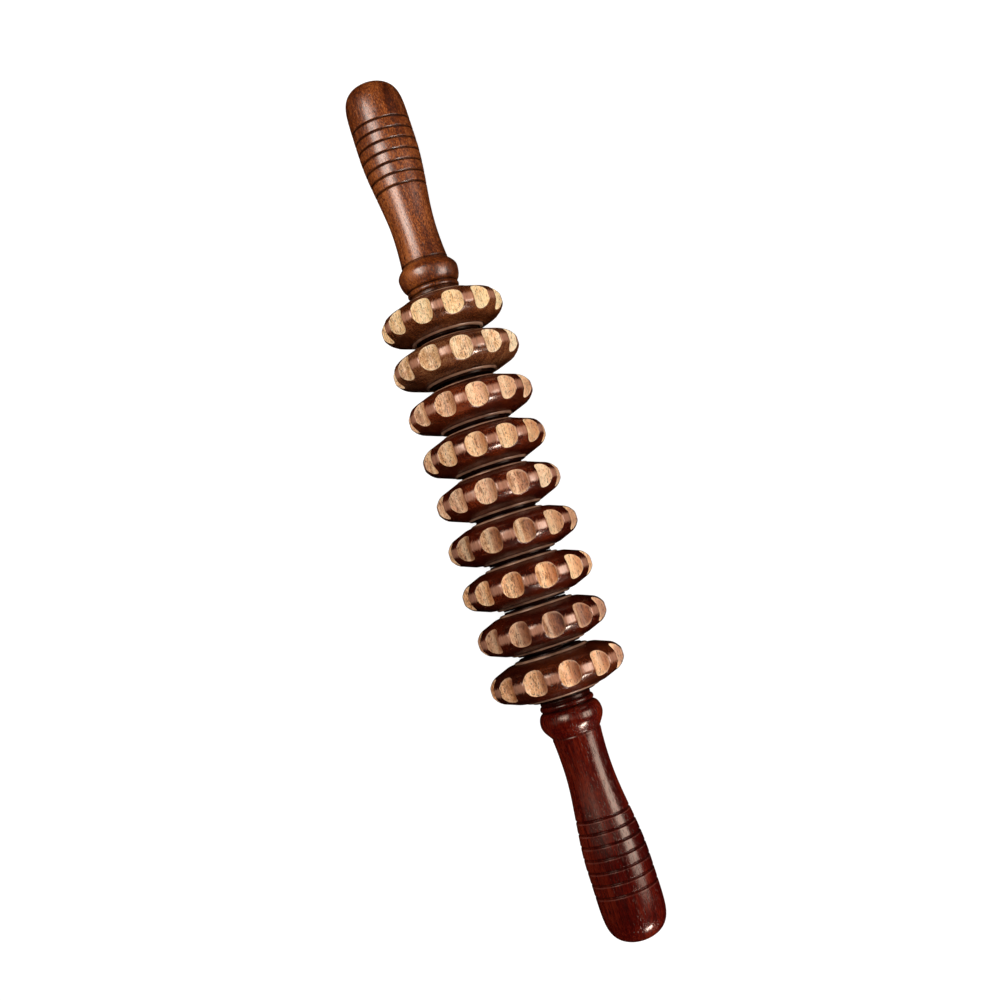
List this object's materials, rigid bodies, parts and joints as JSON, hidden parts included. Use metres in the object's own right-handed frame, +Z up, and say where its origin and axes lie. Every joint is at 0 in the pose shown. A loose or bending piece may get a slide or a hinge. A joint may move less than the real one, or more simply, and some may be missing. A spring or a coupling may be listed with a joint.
{
  "type": "wooden roller massager",
  "caption": "Turned wooden stick with grooved grip handles and a row of scalloped wooden rollers that spin freely on an axle dowel, for rolling over muscles by hand.",
  "frame": {"origin": "on the axle's centre line, halfway along the stick", "axes": "+X along the stick towards the right handle, +Z up, +Y square to both; every roller spins about X"},
  "size_m": [0.39, 0.0588, 0.0588],
  "materials": {
    "dowel_wood": "dark stained straight-grained wood, rubbed smooth",
    "handle_wood": "reddish-brown stain under a gloss lacquer, fine grain",
    "roller_wood": "reddish-brown gloss lacquer over turned wood; the scoops are cut afterwards and left as pale bare wood"
  },
  "bodies": {
    "stick": {"axle_dowel": "dowel_wood", "left_handle": "handle_wood", "right_handle": "handle_wood"},
    "roller_1": {"roller_1": "roller_wood"},
    "roller_2": {"roller_2": "roller_wood"},
    "roller_3": {"roller_3": "roller_wood"},
    "roller_4": {"roller_4": "roller_wood"},
    "roller_5": {"roller_5": "roller_wood"},
    "roller_6": {"roller_6": "roller_wood"},
    "roller_7": {"roller_7": "roller_wood"},
    "roller_8": {"roller_8": "roller_wood"},
    "roller_9": {"roller_9": "roller_wood"}
  },
  "joints": [
    {"name": "roller_1_spin", "type": "hinge", "parent": "stick", "child": "roller_1", "pos_m": [-0.0811, 0, 0], "axis": [1, 0, 0], "continuous": true},
    {"name": "roller_2_spin", "type": "hinge", "parent": "stick", "child": "roller_2", "pos_m": [-0.0607, 0, 0], "axis": [1, 0, 0], "continuous": true},
    {"name": "roller_3_spin", "type": "hinge", "parent": "stick", "child": "roller_3", "pos_m": [-0.0398, 0, 0], "axis": [1, 0, 0], "continuous": true},
    {"name": "roller_4_spin", "type": "hinge", "parent": "stick", "child": "roller_4", "pos_m": [-0.0198, 0, 0], "axis": [1, 0, 0], "continuous": true},
    {"name": "roller_5_spin", "type": "hinge", "parent": "stick", "child": "roller_5", "pos_m": [0.0003, 0, 0], "axis": [1, 0, 0], "continuous": true},
    {"name": "roller_6_spin", "type": "hinge", "parent": "stick", "child": "roller_6", "pos_m": [0.0203, 0, 0], "axis": [1, 0, 0], "continuous": true},
    {"name": "roller_7_spin", "type": "hinge", "parent": "stick", "child": "roller_7", "pos_m": [0.0402, 0, 0], "axis": [1, 0, 0], "continuous": true},
    {"name": "roller_8_spin", "type": "hinge", "parent": "stick", "child": "roller_8", "pos_m": [0.0601, 0, 0], "axis": [1, 0, 0], "continuous": true},
    {"name": "roller_9_spin", "type": "hinge", "parent": "stick", "child": "roller_9", "pos_m": [0.0811, 0, 0], "axis": [1, 0, 0], "continuous": true}
  ]
}
